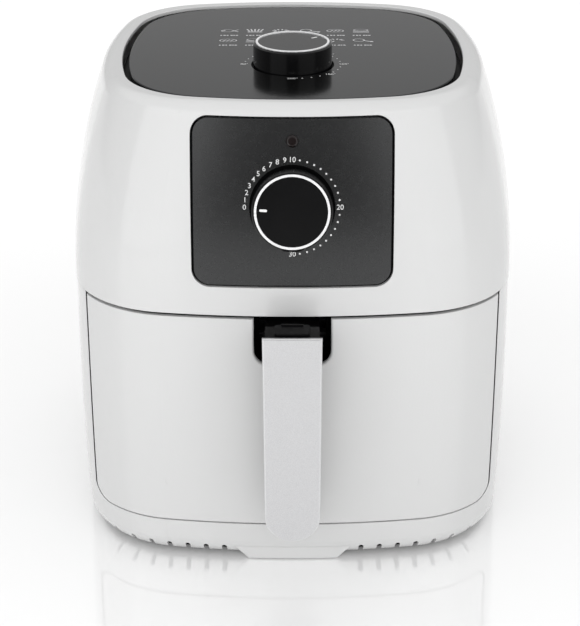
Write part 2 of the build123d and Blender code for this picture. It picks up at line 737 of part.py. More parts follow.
with BuildPart() as motor_rotor:
    with BuildSketch(level(STATOR_BOTTOM + 1)):
        Circle(ROTOR_RADIUS)
        Circle(SHAFT_RADIUS, mode=Mode.SUBTRACT)
    extrude(amount=STATOR_TOP - STATOR_BOTTOM - 2)
save(motor_rotor, "motor_rotor")


def fan(hub_radius, hub_low, hub_high, tip, blades, blade_low, blade_high, pitch):
    """Hub with leaning blades, bored for the shaft."""
    disc(level(0), hub_radius, hub_low, hub_high)
    for blade in range(blades):
        outward = Vector(1, 0).rotate(Axis.Z, 360 / blades * blade)
        around = Vector(0, 1).rotate(Axis.Z, 360 / blades * blade)
        leaning = Plane(
            origin=(0, BODY_Y, (blade_low + blade_high) / 2),
            x_dir=outward,
            z_dir=around * sin(radians(pitch)) + Vector(0, 0, cos(radians(pitch))),
        )
        with BuildSketch(leaning) as vane:
            with Locations(((tip + hub_radius - 1) / 2, 0)):
                Rectangle(tip - hub_radius + 1, blade_high - blade_low)
        extrude(vane.sketch, amount=0.6, both=True)
    disc(level(0), SHAFT_RADIUS, hub_low - 1, hub_high + 1, Mode.SUBTRACT)


with BuildPart() as cooling_fan:
    fan(7, 220, 230, 32, 6, 220, 230, 40)
save(cooling_fan, "cooling_fan")

with BuildPart() as convection_fan:
    fan(9, 189, 201, 49, 8, 195, 209, 60)
    disc(level(0), 49, 200, 201)
    disc(level(0), SHAFT_RADIUS, 188, 202, Mode.SUBTRACT)
save(convection_fan, "convection_fan")

with BuildPart() as fan_nut:
    with BuildSketch(level(SHAFT_LOW + 1)):
        RegularPolygon(6, 6)
        Circle(SHAFT_RADIUS, mode=Mode.SUBTRACT)
    extrude(amount=4)
save(fan_nut, "fan_nut")

with BuildPart() as thermal_cutoff:
    block((-60, -44), (20, 34), (HOOD_TOP, HOOD_TOP + 6))
    block((-56, -48), (16, 38), (HOOD_TOP + 6, HOOD_TOP + 8))
save(thermal_cutoff, "thermal_cutoff")

with BuildPart() as terminal_block:
    block((32, 72), (CHAMBER_BACK, CHAMBER_BACK + 14), (44, 60))
    for row in range(3):
        block((36 + 12 * row, 44 + 12 * row), (CHAMBER_BACK + 4, CHAMBER_BACK + 14), (60, 64))
save(terminal_block, "terminal_block")

with BuildPart() as drawer_switch:
    block((124.2, 132), (-70, -48), (150, 164))
    block((126, 130), (-74, -70), (155, 159))
save(drawer_switch, "drawer_switch")

# ---------------------------------------------------------------- drawer

FRONT_BOSSES = ((-80, 60), (80, 60), (-80, 140), (80, 140))

with BuildPart() as drawer_front:
    lower_shell(FRONT_WALL)
    upright_window(
        OPENING_HALF - FRONT_GAP, OPENING_BOTTOM + FRONT_GAP, 205, OPENING_RADIUS - FRONT_GAP, -90, 75,
        Mode.INTERSECT,
    )
    block((-160, 160), (-170, 0), (FRONT_TOP, 215), Mode.SUBTRACT)
    upright_window(NOTCH_WIDTH / 2, NOTCH_BOTTOM, 205, NOTCH_RADIUS, -90, 75, Mode.SUBTRACT)
    notch_edges = (
        drawer_front.edges()
        .filter_by_position(Axis.X, -NOTCH_WIDTH / 2 - 0.1, NOTCH_WIDTH / 2 + 0.1)
        .filter_by_position(Axis.Z, NOTCH_BOTTOM - 0.1, FRONT_TOP - 1)
        .filter_by_position(Axis.Y, BODY_Y - 160, BODY_Y - 149.8)
    )
    fillet(notch_edges, NOTCH_ROUND)
    disc(facing_front(0), 5, -COVER_FRONT, 145, places=FRONT_BOSSES)
    disc(facing_front(0), SCREW_RADIUS, -COVER_FRONT, 136, Mode.SUBTRACT, FRONT_BOSSES)
save(drawer_front, "drawer_front")

with BuildPart() as drawer_inner_cover:
    upright_window(118, 34, 178, 10, COVER_BACK, COVER_BACK - COVER_FRONT, Mode.ADD)
    upright_window(22, 152, 190, 6, COVER_BACK + 1, 6, Mode.SUBTRACT)
    disc(facing_front(0), SCREW_RADIUS, 100, 130, Mode.SUBTRACT, FRONT_BOSSES)
save(drawer_inner_cover, "drawer_inner_cover")

with BuildPart() as drawer_screws:
    disc(facing_front(COVER_BACK), SCREW_HEAD, -1.8, 0, places=FRONT_BOSSES)
    disc(facing_front(COVER_BACK), SCREW_RADIUS, 0, 14, places=FRONT_BOSSES)
save(drawer_screws, "drawer_screws")

PAN_FLANGE = 120.6

with BuildPart() as drawer_pan:
    tub(PAN_TOP, PAN_BOTTOM, PAN_HALF_TOP, PAN_HALF_BOTTOM, 0)
    block((-PAN_FLANGE, PAN_FLANGE), (COVER_BACK, 112), (PAN_TOP, PAN_TOP + 1.5), radius=8)
    tub(PAN_TOP + 1.6, PAN_BOTTOM + PAN_SHEET, PAN_HALF_TOP, PAN_HALF_BOTTOM, PAN_SHEET, Mode.SUBTRACT)
save(drawer_pan, "drawer_pan")

# ---------------------------------------------------------------- basket and handle

RIVET_PLACES = ((-8, 134), (8, 134), (-8, 150), (8, 150))
BRACKET_FRONT = -105.6
BRACKET_BACK = -103.3

with BuildPart() as basket:
    tub(BASKET_TOP, BASKET_BOTTOM, BASKET_HALF_TOP, BASKET_HALF_BOTTOM, 0)
    with BuildSketch(level(BASKET_TOP)) as rim:
        with Locations((0, PAN_CENTRE)):
            RectangleRounded(2 * (BASKET_HALF_TOP + 2), 2 * (BASKET_HALF_TOP + 2), 44)
    extrude(rim.sketch, amount=1.5)
    tub(
        BASKET_TOP + 1.6, BASKET_BOTTOM + BASKET_SHEET, BASKET_HALF_TOP, BASKET_HALF_BOTTOM, BASKET_SHEET,
        Mode.SUBTRACT,
    )
    with BuildSketch(level(BASKET_BOTTOM - 1)) as floor_holes:
        with Locations((0, PAN_CENTRE)):
            with GridLocations(16, 16, 9, 9):
                RegularPolygon(4, 6)
    extrude(floor_holes.sketch, amount=4, mode=Mode.SUBTRACT)
    with BuildSketch(facing_side(-130)) as side_slots:
        with Locations((PAN_CENTRE, 96)):
            with GridLocations(15, 24, 8, 4):
                SlotOverall(16, 4, rotation=90)
    extrude(side_slots.sketch, amount=260, mode=Mode.SUBTRACT)
    with BuildSketch(facing_front(0)) as back_slots:
        with Locations((0, 96)):
            with GridLocations(15, 24, 8, 4):
                SlotOverall(16, 4, rotation=90)
    extrude(back_slots.sketch, amount=-130, mode=Mode.SUBTRACT)
    disc(facing_front(0), 2, 90, 110, Mode.SUBTRACT, RIVET_PLACES)
save(basket, "basket")

with BuildPart() as basket_pads:
    disc(level(0), 5, PAN_BOTTOM + PAN_SHEET + GAP, BASKET_BOTTOM, places=((-72, -74), (72, -74), (-72, 70), (72, 70)))
save(basket_pads, "basket_pads")

NECK_LOW = 161
NECK_END = -97

with BuildPart() as basket_bracket:
    upright_window(14, 126, NECK_LOW, 3, BRACKET_BACK, BRACKET_BACK - BRACKET_FRONT, Mode.ADD)
    block((-14, 14), (-118, NECK_END), (BASKET_TOP + 1.8, NECK_LOW))
    disc(facing_front(0), 2, 90, 110, Mode.SUBTRACT, RIVET_PLACES)
save(basket_bracket, "basket_bracket")

with BuildPart() as basket_rivets:
    disc(facing_front(0), 2, 98, -BRACKET_FRONT, places=RIVET_PLACES)
    disc(facing_front(0), 3.2, -BRACKET_FRONT, -BRACKET_FRONT + 1, places=RIVET_PLACES)
save(basket_rivets, "basket_rivets")

HANDLE_SCREW_PLACES = ((0, 76), (0, 124))
BUTTON_Y = -177
BUTTON_HALF = (8, 4.3)
BUTTON_LOW = 179.5
BUTTON_TOP = 185.6
SPRING_LOW = 176


def handle_face(half_top, half_bottom, top, bottom):
    """Long tapered plate with a round lower end, drawn from the front."""
    end_centre = bottom + half_bottom
    with BuildLine() as outline:
        right = Line((half_top, top), (half_bottom, end_centre))
        ThreePointArc(right @ 1, (0, bottom), (-half_bottom, end_centre))
        Line((-half_bottom, end_centre), (-half_top, top))
        Line((-half_top, top), (half_top, top))
    make_face(outline.edges())


with BuildPart() as handle_core:
    with BuildSketch(facing_front(HANDLE_CORE_BACK)) as bar:
        handle_face(CORE_HALF, CORE_HALF, HANDLE_TOP, HANDLE_BOTTOM + 1)
    extrude(bar.sketch, amount=HANDLE_CORE_BACK - HANDLE_CORE_FRONT)
    with BuildSketch(facing_side()) as neck:
        with BuildLine():
            Polyline(
                (HANDLE_CORE_BACK - 1, HANDLE_TOP),
                (-170, HANDLE_TOP),
                (-154.5, 177.5),
                (-148, 176.8),
                (-108, 170.5),
                (NECK_END, 170.5),
                (NECK_END, NECK_LOW),
                (-118, NECK_LOW),
                (-148, 159),
                (-164, 154),
                (-171, 147),
                (HANDLE_CORE_BACK, 136),
                (HANDLE_CORE_BACK - 1, 136),
                close=True,
            )
        make_face()
    extrude(neck.sketch, amount=CORE_HALF, both=True)
    block(
        (-BUTTON_HALF[0] - GAP, BUTTON_HALF[0] + GAP),
        (BUTTON_Y - BUTTON_HALF[1] - GAP, BUTTON_Y + BUTTON_HALF[1] + GAP),
        (SPRING_LOW, HANDLE_TOP + 1),
        Mode.SUBTRACT,
    )
    disc(facing_front(HANDLE_CORE_BACK), SCREW_RADIUS, -4, 9, Mode.SUBTRACT, HANDLE_SCREW_PLACES)
save(handle_core, "handle_core")

with BuildPart() as handle_cover:
    with BuildSketch(facing_front(HANDLE_CORE_FRONT)) as cover_face:
        handle_face(HANDLE_HALF_TOP, HANDLE_HALF_BOTTOM, HANDLE_TOP, HANDLE_BOTTOM)
    extrude(cover_face.sketch, amount=HANDLE_FRONT + HANDLE_CORE_FRONT)
    front_edges = handle_cover.faces().sort_by(Axis.Y)[0].edges()
    fillet(front_edges, 1.2)
save(handle_cover, "handle_cover")

with BuildPart() as handle_screws:
    disc(facing_front(HANDLE_CORE_BACK), SCREW_HEAD, -1.8, 0, places=HANDLE_SCREW_PLACES)
    disc(facing_front(HANDLE_CORE_BACK), SCREW_RADIUS, 0, 9, places=HANDLE_SCREW_PLACES)
save(handle_screws, "handle_screws")

with BuildPart() as release_button:
    block(
        (-BUTTON_HALF[0], BUTTON_HALF[0]),
        (BUTTON_Y - BUTTON_HALF[1], BUTTON_Y + BUTTON_HALF[1]),
        (BUTTON_LOW, BUTTON_TOP),
        radius=1.5,
    )
save(release_button, "release_button")

with BuildPart() as release_spring:
    with BuildSketch(level(SPRING_LOW)):
        with Locations((0, BUTTON_Y)):
            Circle(3)
            Circle(2, mode=Mode.SUBTRACT)
    extrude(amount=BUTTON_LOW - SPRING_LOW)
save(release_spring, "release_spring")

GUARD_LOW = HANDLE_TOP + GAP

with BuildPart() as button_guard:
    block((-11, 11), (-184.4, -170.4), (GUARD_LOW, GUARD_LOW + 1.3), radius=1.5)
    block((-7, 7), (-172.2, -170.6), (GUARD_LOW + 1.3, GUARD_LOW + 2))
save(button_guard, "button_guard")
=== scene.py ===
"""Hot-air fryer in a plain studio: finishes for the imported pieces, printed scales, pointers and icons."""

import json
from math import cos, pi, radians, sin

import bmesh
import bpy
from mathutils import Matrix, Vector
from mathutils.bvhtree import BVHTree


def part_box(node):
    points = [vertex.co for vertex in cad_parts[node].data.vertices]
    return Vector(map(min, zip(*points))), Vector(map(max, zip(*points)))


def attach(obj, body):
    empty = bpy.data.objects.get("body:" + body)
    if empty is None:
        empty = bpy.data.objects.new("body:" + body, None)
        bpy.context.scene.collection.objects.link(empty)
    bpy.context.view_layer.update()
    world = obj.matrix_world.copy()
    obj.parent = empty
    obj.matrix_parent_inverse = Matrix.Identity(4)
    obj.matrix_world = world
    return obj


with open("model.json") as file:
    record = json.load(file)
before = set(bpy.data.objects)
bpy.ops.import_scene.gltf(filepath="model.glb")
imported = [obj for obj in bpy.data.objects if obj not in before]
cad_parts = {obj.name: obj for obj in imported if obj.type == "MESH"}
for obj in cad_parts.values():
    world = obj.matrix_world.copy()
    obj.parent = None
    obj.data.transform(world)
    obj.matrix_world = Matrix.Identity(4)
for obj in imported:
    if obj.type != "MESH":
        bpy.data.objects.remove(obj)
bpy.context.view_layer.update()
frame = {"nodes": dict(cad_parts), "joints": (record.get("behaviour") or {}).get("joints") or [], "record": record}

MM = 0.001

# ---------------------------------------------------------------- places taken from the frame

PLATE_LOW, PLATE_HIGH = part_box("top_panel")
BODY_Y = (PLATE_LOW.y + PLATE_HIGH.y) / 2
PLATE_TOP = PLATE_HIGH.z
JOINTS = {joint["name"]: joint for joint in frame["joints"]}
TEMPERATURE_CENTRE = Vector(JOINTS["temperature_turn"]["pos_m"])
TIMER_CENTRE = Vector(JOINTS["timer_turn"]["pos_m"])
TIMER_AXIS = Vector(JOINTS["timer_turn"]["axis"]).normalized()


# ---------------------------------------------------------------- node helpers and shared effects

def add_node(tree, kind, **settings):
    """Adds a node and sets its properties and unlinked inputs."""
    node = tree.nodes.new(kind)
    for key, value in settings.items():
        if hasattr(node, key):
            setattr(node, key, value)
        else:
            node.inputs[key.replace("_", " ")].default_value = value
    return node


def new_group(name, inputs, outputs):
    """Empty shader group with named float inputs and float outputs."""
    group = bpy.data.node_groups.new(name, "ShaderNodeTree")
    for label, value in inputs.items():
        socket = group.interface.new_socket(label, in_out="INPUT", socket_type="NodeSocketFloat")
        socket.default_value = value
    for label in outputs:
        group.interface.new_socket(label, in_out="OUTPUT", socket_type="NodeSocketFloat")
    return group, add_node(group, "NodeGroupInput"), add_node(group, "NodeGroupOutput")


def noise(tree, vector, scale_socket=None, scale=10.0, detail=3.0, roughness=0.5):
    """Noise texture on the given coordinates."""
    node = add_node(tree, "ShaderNodeTexNoise")
    node.inputs["Scale"].default_value = scale
    node.inputs["Detail"].default_value = detail
    node.inputs["Roughness"].default_value = roughness
    tree.links.new(vector, node.inputs["Vector"])
    if scale_socket is not None:
        tree.links.new(scale_socket, node.inputs["Scale"])
    return node.outputs["Fac"]


def math_node(tree, operation, first, second=0.5):
    """Math node on sockets or plain numbers."""
    node = add_node(tree, "ShaderNodeMath", operation=operation)
    for slot_index, value in enumerate((first, second)):
        if isinstance(value, (int, float)):
            node.inputs[slot_index].default_value = value
        else:
            tree.links.new(value, node.inputs[slot_index])
    return node.outputs[0]


def ramp(tree, value, low, high, out_low=0.0, out_high=1.0):
    """Clamped remap of a value."""
    node = add_node(tree, "ShaderNodeMapRange")
    tree.links.new(value, node.inputs["Value"])
    for label, number in (("From Min", low), ("From Max", high), ("To Min", out_low), ("To Max", out_high)):
        node.inputs[label].default_value = number
    return node.outputs["Result"]


def moulded_group():
    """Moulded plastic: slow waviness, fine grain and faint handling marks."""
    group, entry, out = new_group(
        "moulded_surface", {"Wave Scale": 14.0, "Grain Scale": 900.0, "Grain Share": 0.5},
        ("Height", "Handling", "Tone"),
    )
    where = add_node(group, "ShaderNodeTexCoord").outputs["Object"]
    wave = noise(group, where, entry.outputs["Wave Scale"], detail=1.0)
    grain = noise(group, where, entry.outputs["Grain Scale"], detail=2.0)
    shared = math_node(group, "MULTIPLY", grain, entry.outputs["Grain Share"])
    group.links.new(math_node(group, "ADD", wave, shared), out.inputs["Height"])
    smudge = noise(group, where, scale=22.0, detail=6.0, roughness=0.62)
    group.links.new(ramp(group, smudge, 0.42, 0.68), out.inputs["Handling"])
    tone = noise(group, where, scale=5.0, detail=2.0)
    group.links.new(ramp(group, tone, 0.3, 0.7), out.inputs["Tone"])
    return group


def sheet_group():
    """Rolled sheet metal: long fine scratches along one axis, spangle and slight stains."""
    group, entry, out = new_group("rolled_sheet", {"Stretch": 30.0}, ("Scratch", "Spangle", "Stain"))
    where = add_node(group, "ShaderNodeTexCoord").outputs["Object"]
    spread = add_node(group, "ShaderNodeMapping")
    group.links.new(where, spread.inputs["Vector"])
    spread.inputs["Scale"].default_value = (1.0, 40.0, 40.0)
    scratch = noise(group, spread.outputs["Vector"], entry.outputs["Stretch"], detail=4.0)
    group.links.new(scratch, out.inputs["Scratch"])
    cells = add_node(group, "ShaderNodeTexVoronoi")
    cells.inputs["Scale"].default_value = 260.0
    group.links.new(where, cells.inputs["Vector"])
    group.links.new(cells.outputs["Distance"], out.inputs["Spangle"])
    stain = noise(group, where, scale=28.0, detail=5.0, roughness=0.6)
    group.links.new(ramp(group, stain, 0.48, 0.72), out.inputs["Stain"])
    return group


def fleck_group():
    """Sprayed metallic paint: tiny bright flakes and a soft mottle."""
    group, entry, out = new_group("metallic_fleck", {"Flake Scale": 3200.0}, ("Flake", "Mottle"))
    where = add_node(group, "ShaderNodeTexCoord").outputs["Object"]
    cells = add_node(group, "ShaderNodeTexVoronoi")
    group.links.new(entry.outputs["Flake Scale"], cells.inputs["Scale"])
    group.links.new(where, cells.inputs["Vector"])
    group.links.new(ramp(group, cells.outputs["Distance"], 0.15, 0.65), out.inputs["Flake"])
    group.links.new(noise(group, where, scale=260.0, detail=4.0, roughness=0.7), out.inputs["Mottle"])
    return group


MOULDED = moulded_group()
SHEET = sheet_group()
FLECK = fleck_group()


def use_group(tree, group, **values):
    """Places a shared effect with its own values."""
    node = add_node(tree, "ShaderNodeGroup")
    node.node_tree = group
    for key, value in values.items():
        node.inputs[key.replace("_", " ")].default_value = value
    return node


def start_material(name, **constants):
    """New material with a Principled shader whose constants are set on its own sockets."""
    material = bpy.data.materials.new(name)
    material.use_nodes = True
    tree = material.node_tree
    shader = tree.nodes["Principled BSDF"]
    for key, value in constants.items():
        shader.inputs[key.replace("_", " ")].default_value = value
    return material, tree, shader


def blend_colour(tree, factor, first, second):
    """Colour between two fixed colours."""
    mix = add_node(tree, "ShaderNodeMix", data_type="RGBA")
    tree.links.new(factor, mix.inputs[0])
    mix.inputs[6].default_value = (*first, 1.0)
    mix.inputs[7].default_value = (*second, 1.0)
    return mix.outputs[2]


def bump(tree, shader, height, strength, distance, edge_radius=0.0):
    """Bump on the shader, over softened edges where a radius is given."""
    node = add_node(tree, "ShaderNodeBump")
    node.inputs["Strength"].default_value = strength
    node.inputs["Distance"].default_value = distance
    tree.links.new(height, node.inputs["Height"])
    if edge_radius:
        soft = add_node(tree, "ShaderNodeBevel", samples=4)
        soft.inputs["Radius"].default_value = edge_radius
        tree.links.new(soft.outputs["Normal"], node.inputs["Normal"])
    tree.links.new(node.outputs["Normal"], shader.inputs["Normal"])


# ---------------------------------------------------------------- finishes

def moulded_plastic(
    name, colour, worn_colour, rough, rough_spread, wave, grain, height, edge=0.0, **constants
):
    """Injection-moulded plastic with its own colour, gloss, grain and waviness."""
    material, tree, shader = start_material(name, **constants)
    surface = use_group(tree, MOULDED, Wave_Scale=wave, Grain_Scale=grain, Grain_Share=0.5)
    tone = blend_colour(tree, surface.outputs["Tone"], colour, worn_colour)
    tree.links.new(tone, shader.inputs["Base Color"])
    gloss = ramp(tree, surface.outputs["Handling"], 0.0, 1.0, rough, rough + rough_spread)
    tree.links.new(gloss, shader.inputs["Roughness"])
    bump(tree, shader, surface.outputs["Height"], 0.25, height, edge)
    return material


def sheet_metal(name, colour, stain_colour, rough, spangle=0.0, stretch=30.0, **constants):
    """Bare or coated sheet metal."""
    material, tree, shader = start_material(name, Metallic=1.0, **constants)
    surface = use_group(tree, SHEET, Stretch=stretch)
    tree.links.new(
        blend_colour(tree, surface.outputs["Stain"], colour, stain_colour), shader.inputs["Base Color"]
    )
    grained = math_node(tree, "MULTIPLY", surface.outputs["Scratch"], 0.22)
    flaked = math_node(tree, "MULTIPLY", surface.outputs["Spangle"], spangle)
    total = math_node(tree, "ADD", grained, flaked)
    tree.links.new(math_node(tree, "ADD", total, rough - 0.1), shader.inputs["Roughness"])
    bump(tree, shader, surface.outputs["Scratch"], 0.12, 0.0002)
    return material


def silver_paint(name):
    """Satin silver paint with fine flakes."""
    material, tree, shader = start_material(name, Metallic=0.8, Coat_Weight=0.2, Coat_Roughness=0.25)
    surface = use_group(tree, FLECK, Flake_Scale=3200.0)
    tree.links.new(
        blend_colour(tree, surface.outputs["Flake"], (0.80, 0.80, 0.81), (0.66, 0.66, 0.67)),
        shader.inputs["Base Color"],
    )
    tree.links.new(ramp(tree, surface.outputs["Mottle"], 0.3, 0.7, 0.34, 0.44), shader.inputs["Roughness"])
    bump(tree, shader, surface.outputs["Mottle"], 0.10, 0.0001)
    return material


def satin_panel(name, colour, worn_colour, smooth, rough):
    """Dark graphite panel: satin metallic paint with a very fine grain."""
    material, tree, shader = start_material(name, Metallic=0.9)
    surface = use_group(tree, FLECK, Flake_Scale=2600.0)
    tree.links.new(
        blend_colour(tree, surface.outputs["Flake"], colour, worn_colour),
        shader.inputs["Base Color"],
    )
    tree.links.new(ramp(tree, surface.outputs["Mottle"], 0.3, 0.7, smooth, rough), shader.inputs["Roughness"])
    bump(tree, shader, surface.outputs["Mottle"], 0.03, 0.00004, 0.0004)
    return material


def bright_trim(name):
    """Bright satin trim ring: light metal that stays pale from every side."""
    material, tree, shader = start_material(name, Metallic=0.25, Coat_Weight=0.5, Coat_Roughness=0.08)
    surface = use_group(tree, SHEET, Stretch=8.0)
    tree.links.new(
        blend_colour(tree, surface.outputs["Stain"], (0.96, 0.96, 0.97), (0.90, 0.90, 0.91)),
        shader.inputs["Base Color"],
    )
    tree.links.new(ramp(tree, surface.outputs["Scratch"], 0.3, 0.7, 0.24, 0.32), shader.inputs["Roughness"])
    bump(tree, shader, surface.outputs["Scratch"], 0.05, 0.0001, 0.0003)
    return material


def non_stick(name):
    """Dark non-stick coating with a faint speckle."""
    material, tree, shader = start_material(name, Metallic=0.0, Coat_Weight=0.15, Coat_Roughness=0.35)
    surface = use_group(tree, FLECK, Flake_Scale=1400.0)
    tree.links.new(
        blend_colour(tree, surface.outputs["Flake"], (0.055, 0.055, 0.058), (0.018, 0.018, 0.019)),
        shader.inputs["Base Color"],
    )
    tree.links.new(ramp(tree, surface.outputs["Mottle"], 0.3, 0.7, 0.42, 0.56), shader.inputs["Roughness"])
    bump(tree, shader, surface.outputs["Mottle"], 0.3, 0.0002, 0.0004)
    return material


def lens_plastic(name):
    """Clear dark red lens over the lamp."""
    material, tree, shader = start_material(name, IOR=1.49, Transmission_Weight=0.35)
    surface = use_group(tree, MOULDED, Wave_Scale=200.0, Grain_Scale=900.0, Grain_Share=0.1)
    tree.links.new(
        blend_colour(tree, surface.outputs["Tone"], (0.012, 0.006, 0.006), (0.008, 0.004, 0.004)),
        shader.inputs["Base Color"],
    )
    tree.links.new(ramp(tree, surface.outputs["Handling"], 0.0, 1.0, 0.12, 0.2), shader.inputs["Roughness"])
    return material


def print_ink(name, colour):
    """Pad-printed ink, slightly uneven."""
    material, tree, shader = start_material(name)
    surface = use_group(tree, MOULDED, Wave_Scale=900.0, Grain_Scale=4000.0, Grain_Share=0.5)
    dimmer = tuple(0.86 * channel for channel in colour)
    tree.links.new(blend_colour(tree, surface.outputs["Tone"], colour, dimmer), shader.inputs["Base Color"])
    tree.links.new(ramp(tree, surface.outputs["Handling"], 0.0, 1.0, 0.45, 0.6), shader.inputs["Roughness"])
    bump(tree, shader, surface.outputs["Height"], 0.1, 0.00005)
    return material


FINISHES = {
    "white_gloss": moulded_plastic(
        "white_gloss_plastic", (0.655, 0.657, 0.656), (0.640, 0.642, 0.641),
        0.13, 0.05, 9.0, 700.0, 0.0004, 0.0006,
        Coat_Weight=0.35, Coat_Roughness=0.06,
    ),
    "black_plastic": moulded_plastic(
        "black_textured_plastic", (0.003, 0.003, 0.0033), (0.005, 0.005, 0.0053),
        0.36, 0.12, 40.0, 2600.0, 0.0002, 0.0004,
        Specular_IOR_Level=0.06,
    ),
    "dark_panel": satin_panel(
        "satin_panel_paint", (0.084, 0.085, 0.086), (0.070, 0.071, 0.072), 0.24, 0.29
    ),
    "dark_knob": moulded_plastic(
        "gloss_knob_plastic", (0.003, 0.003, 0.0033), (0.005, 0.005, 0.0053),
        0.15, 0.05, 60.0, 3000.0, 0.00008, 0.0003,
        Specular_IOR_Level=0.35,
    ),
    "fan_plastic": moulded_plastic(
        "fan_plastic", (0.03, 0.03, 0.032), (0.05, 0.05, 0.052), 0.45, 0.12, 50.0, 1800.0, 0.0002,
    ),
    "control_plastic": moulded_plastic(
        "natural_plastic", (0.62, 0.58, 0.48), (0.55, 0.51, 0.42), 0.38, 0.15, 50.0, 1500.0, 0.0002, 0.0003,
    ),
    "terminal_plastic": moulded_plastic(
        "terminal_plastic", (0.72, 0.72, 0.69), (0.66, 0.66, 0.62), 0.28, 0.12, 60.0, 1500.0, 0.0002, 0.0003,
    ),
    "foot_rubber": moulded_plastic(
        "foot_rubber", (0.022, 0.022, 0.022), (0.040, 0.039, 0.038), 0.68, 0.15, 60.0, 2200.0, 0.0004,
    ),
    "silicone": moulded_plastic(
        "silicone_pad", (0.05, 0.05, 0.05), (0.07, 0.07, 0.07), 0.55, 0.12, 60.0, 1800.0, 0.0003,
    ),
    "silver_paint": silver_paint("satin_silver_paint"),
    "coated_steel": non_stick("non_stick_coating"),
    "lens_red": lens_plastic("red_lens"),
    "chrome_trim": bright_trim("bright_trim"),
    "sheet_steel": sheet_metal("plain_sheet_steel", (0.60, 0.60, 0.60), (0.48, 0.46, 0.44), 0.34),
    "aluminised_steel": sheet_metal("aluminised_sheet", (0.66, 0.66, 0.66), (0.54, 0.53, 0.51), 0.38, 0.10),
    "element_steel": sheet_metal("element_sheath", (0.20, 0.18, 0.17), (0.13, 0.10, 0.09), 0.45),
    "fan_metal": sheet_metal("fan_sheet", (0.68, 0.68, 0.69), (0.58, 0.57, 0.55), 0.30),
    "stator_steel": sheet_metal("stator_laminations", (0.22, 0.22, 0.23), (0.16, 0.14, 0.13), 0.5),
    "rotor_steel": sheet_metal("turned_steel", (0.50, 0.50, 0.51), (0.42, 0.41, 0.40), 0.26),
    "brass_bush": sheet_metal("sintered_bronze", (0.62, 0.44, 0.22), (0.50, 0.34, 0.17), 0.42),
    "screw_steel": sheet_metal("zinc_plated_steel", (0.62, 0.62, 0.64), (0.52, 0.51, 0.50), 0.30),
}
INK = print_ink("white_print", (0.84, 0.84, 0.84))
GREY_INK = print_ink("grey_print", (0.58, 0.58, 0.59))
TOP_PLATE = satin_panel("satin_plate_paint", (0.036, 0.037, 0.038), (0.030, 0.031, 0.032), 0.13, 0.17)

for entry in frame["record"]["subparts"]:
    node = frame["nodes"][entry["node"]]
    finish = TOP_PLATE if entry["node"] == "top_panel" else FINISHES[entry["material_slot"]]
    node.data.materials.clear()
    node.data.materials.append(finish)


# ---------------------------------------------------------------- printed scales, pointers and icons

PRINT_LIFT = 0.06 * MM
LAYER_STEP = 0.0004 * MM
OUTLINE_WIDTH = 0.8 * MM
LABEL_WEIGHT = 0.006
SURFACE_REACH = 0.02
CAP_REACH = 0.03

POINTER_RADIUS = 17.9 * MM
POINTER_LENGTH = 4.8 * MM
POINTER_WIDTH = 1.6 * MM
TEMPERATURE_POINTER_TURN = radians(36)
TIMER_POINTER_TURN = radians(177)

TIMER_SCALE_RADIUS = 29.9 * MM
TIMER_FIGURE = 4.6 * MM
TIMER_DOT = 0.62 * MM
TIMER_MINUTES = 30
MINUTE_TURN = 9
FIGURES_TO = 10

TEMPERATURE_SCALE_RADIUS = 32.2 * MM
TEMPERATURE_FIGURE = 3.8 * MM
TEMPERATURE_DOT = 0.55 * MM
TEMPERATURE_LABELS = ("80", "100", "120", "140", "160", "180", "200")
LABEL_TURN = 45
DOTS_BETWEEN = 3
RIGHT_CLEARANCE = 2 * MM

def finish_piece(name, mesh, body, material):
    """Makes an object of a placed mesh, gives it its finish and lets it ride on its body."""
    piece = bpy.data.objects.new(name, mesh)
    bpy.context.scene.collection.objects.link(piece)
    piece.data.materials.clear()
    piece.data.materials.append(material)
    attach(piece, body)
    return piece


def mesh_from_curve(curve):
    """Mesh of a text or stroke curve, in the curve's own plane."""
    holder = bpy.data.objects.new("curve_holder", curve)
    bpy.context.scene.collection.objects.link(holder)
    bpy.context.view_layer.update()
    mesh = bpy.data.meshes.new_from_object(holder.evaluated_get(bpy.context.evaluated_depsgraph_get()))
    bpy.data.objects.remove(holder)
    bpy.data.curves.remove(curve)
    return mesh


def label_mesh(text, size):
    """Flat centred mesh of a number or short scale label."""
    curve = bpy.data.curves.new("label", "FONT")
    curve.body = text
    curve.size = size
    curve.align_x = "CENTER"
    curve.align_y = "CENTER"
    curve.resolution_u = 4
    curve.offset = LABEL_WEIGHT * size
    return mesh_from_curve(curve)


